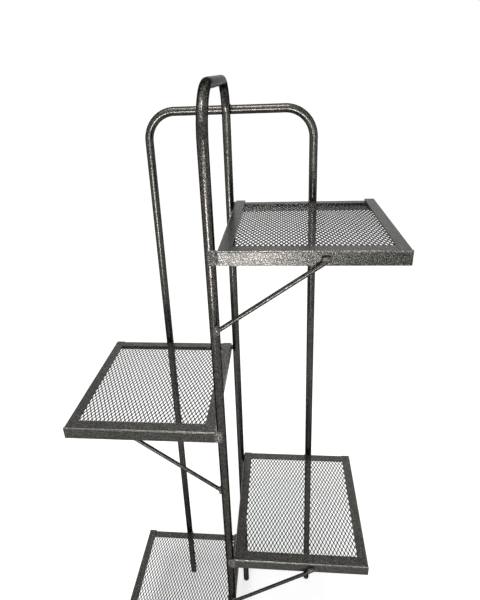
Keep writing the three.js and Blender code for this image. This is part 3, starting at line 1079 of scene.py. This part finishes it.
def pale_floor():
    """A round sheet just under the feet, apart from the stand."""
    bm = bmesh.new()
    bmesh.ops.create_circle(bm, cap_ends=True, segments=96, radius=FLOOR_RADIUS)
    piece = new_object("pale_floor", bm)
    material, tree, shader = new_material("pale_floor")
    shader.inputs["Base Color"].default_value = FLOOR_TONE
    shader.inputs["Roughness"].default_value = 0.9
    shader.inputs["Specular IOR Level"].default_value = 0.1
    shader.inputs["Emission Color"].default_value = WHITE
    path = add_node(tree, "LightPath").outputs
    lift = add_node(tree, "Math")
    lift.operation = "MULTIPLY"
    lift.inputs[1].default_value = FLOOR_LIFT
    tree.links.new(either(tree, path["Is Camera Ray"], path["Is Glossy Ray"]), lift.inputs[0])
    tree.links.new(lift.outputs[0], shader.inputs["Emission Strength"])
    piece.data.materials.append(material)
    piece.location.z = -FLOOR_DROP
    print("floor radius", FLOOR_RADIUS)


pale_floor()

# %% [markdown]
# ## Background
#
# Behind the stand there is nothing but white. A brighter world would whiten the background
# too, but it would wash out the dark paint. So the world is white to the rays that look at
# it, straight or in a reflection, and dim to the rays that carry its light.

# %% World
WORLD_FILL = 0.2  # how bright the world is as a lamp


def studio_world():
    """White to look at, dim as a lamp."""
    world = bpy.data.worlds.new("studio")
    bpy.context.scene.world = world
    world.use_nodes = True
    tree = world.node_tree
    tree.nodes.clear()
    white = add_node(tree, "Background", Color=WHITE, Strength=1.0)
    dim = add_node(tree, "Background", Color=WHITE, Strength=WORLD_FILL)
    path = add_node(tree, "LightPath").outputs
    looked_at = either(tree, path["Is Camera Ray"], path["Is Glossy Ray"])
    looked_at = either(tree, looked_at, path["Is Transmission Ray"])
    mix = add_node(tree, "MixShader")
    out = add_node(tree, "OutputWorld")
    tree.links.new(looked_at, mix.inputs["Fac"])
    tree.links.new(dim.outputs[0], mix.inputs[1])
    tree.links.new(white.outputs[0], mix.inputs[2])
    tree.links.new(mix.outputs[0], out.inputs["Surface"])
    print("world fill", WORLD_FILL)


studio_world()

# %% [markdown]
# ## Lamps
#
# Smooth round tubes show their lamps as long streaks, so the shape of each streak is set by
# where a softbox stands and how wide it is. A low box in front gives the streak on the legs
# and the bright left half of the top rail. A long strip high in front draws the bright line
# on each front corner, and one box high on the left catches the bends. Weak boxes on the
# right and behind lift the sides that these miss, and the light from above is wide so that
# the shadows stay soft. Each lamp's power could be tried until the picture looks right. Here
# it is worked out from the light that should arrive, so the lamps can be weighed and added up.


# %% Softbox
def aim(lamp, target):
    """Turn a lamp towards a point."""
    lamp.rotation_euler = (Vector(target) - lamp.location).to_track_quat("-Z", "Y").to_euler()


def add_softbox(name, place, target, size, level, spread):
    """A softbox set by the light at its target: level 1 shows a colour as it is written.

    A narrow spread gathers the lamp's power in its middle, and that gain is divided out.
    """
    data = bpy.data.lights.new(name, "AREA")
    data.shape = "RECTANGLE"
    data.size, data.size_y = size
    data.spread = math.radians(spread)
    half = math.radians(spread) / 2
    narrowing = math.tan(half) / (math.tan(half) - half)
    lamp = bpy.data.objects.new(name, data)
    bpy.context.scene.collection.objects.link(lamp)
    lamp.location = place
    aim(lamp, target)
    reach = (Vector(target) - lamp.location).length
    data.energy = level * math.pi**2 * reach**2 / narrowing
    print(name, "power", round(data.energy, 1), "W from", round(reach, 2), "m")


# %% Softboxes
# Each has its place, the point it is aimed at, its width and height, its level and its spread.
SOFTBOXES = {
    "low_front_softbox": ((-0.26, -2.6, 0.44), (0.0, 0.0, 1.5), (1.0, 0.7), 0.9, 50.0),
    "right_softbox": ((1.0, -2.6, 1.1), (0.0, 0.0, 1.3), (1.1, 0.7), 0.22, 70.0),
    "high_front_softbox": ((-0.25, -1.5, 2.7), (0.0, 0.0, 1.2), (2.8, 0.4), 0.36, 80.0),
    "high_left_softbox": ((-0.75, -0.38, 2.8), (0.0, 0.0, 1.35), (0.8, 0.8), 0.4, 70.0),
    "overhead_softbox": ((0.0, 0.2, 3.3), (0.0, 0.1, 1.2), (2.4, 2.0), 0.26, 120.0),
    "back_softbox": ((0.0, 3.0, 2.9), (0.0, 0.0, 1.1), (3.0, 1.6), 0.16, 90.0),
}
for name, settings in SOFTBOXES.items():
    add_softbox(name, *settings)

# %% [markdown]
# ### A soft sun
#
# The boxes fade with distance, so by themselves they would leave the far floor dark. A larger
# box would have to be huge. A sun lights everything alike however far it is, and a wide disc
# softens the edges of its shadows.

# %% Sun
SUN_FROM = (-0.05, -0.37, 1.0)
SUN_DISC = 18.0  # the width of its disc, in degrees
SUN_LEVEL = 0.45
SUN_AWAY = 4  # only its direction counts; this puts it out of the way of the stand

sun_data = bpy.data.lights.new("overhead_sun", "SUN")
sun_data.angle = math.radians(SUN_DISC)
sun_data.energy = SUN_LEVEL * math.pi
sun = bpy.data.objects.new("overhead_sun", sun_data)
bpy.context.scene.collection.objects.link(sun)
sun.location = Vector(SUN_FROM) * SUN_AWAY
aim(sun, (0, 0, 0))
print("overhead_sun strength", round(sun_data.energy, 2))

# %% [markdown]
# ## Camera
#
# The stand was photographed from close by, a little above the top shelf and looking down, so
# the shelves spread out towards the lens. The view could be set by eye, but the straight
# tubes make good rulers: the place, the turn and the lens were worked out from their slants.
# The place is measured from the front of the centre hoop at the floor.

# %% Camera
CAMERA_PLACE = Vector((0.101454, -0.605758, 1.379496))
CAMERA_RIGHT = Vector((0.9960, 0.0821, -0.0341))
CAMERA_FORWARD = Vector((-0.0888, 0.8977, -0.4315))
CAMERA_UP = Vector((-0.0048, 0.4329, 0.9014))
LENS, SENSOR_HEIGHT = 18.369, 24.0  # in millimetres

data = bpy.data.cameras.new("photo_camera")
data.sensor_fit = "VERTICAL"
data.sensor_height = SENSOR_HEIGHT
data.lens = LENS
data.clip_start, data.clip_end = 0.01, 100.0
camera = bpy.data.objects.new("photo_camera", data)
bpy.context.scene.collection.objects.link(camera)
turn = Matrix((CAMERA_RIGHT, CAMERA_UP, -CAMERA_FORWARD)).transposed()
place = CAMERA_PLACE + Vector((hoop_plane, front_plane, 0))
camera.matrix_world = Matrix.Translation(place) @ turn.to_4x4()
bpy.context.scene.camera = camera
bpy.context.scene.view_settings.view_transform = "Standard"
print("camera at", [round(part, 3) for part in place])

# %% [markdown]
# ## Finish
#
# The last cell counts the pieces that were made.

# %% Finish
print("pieces:", len(pieces))
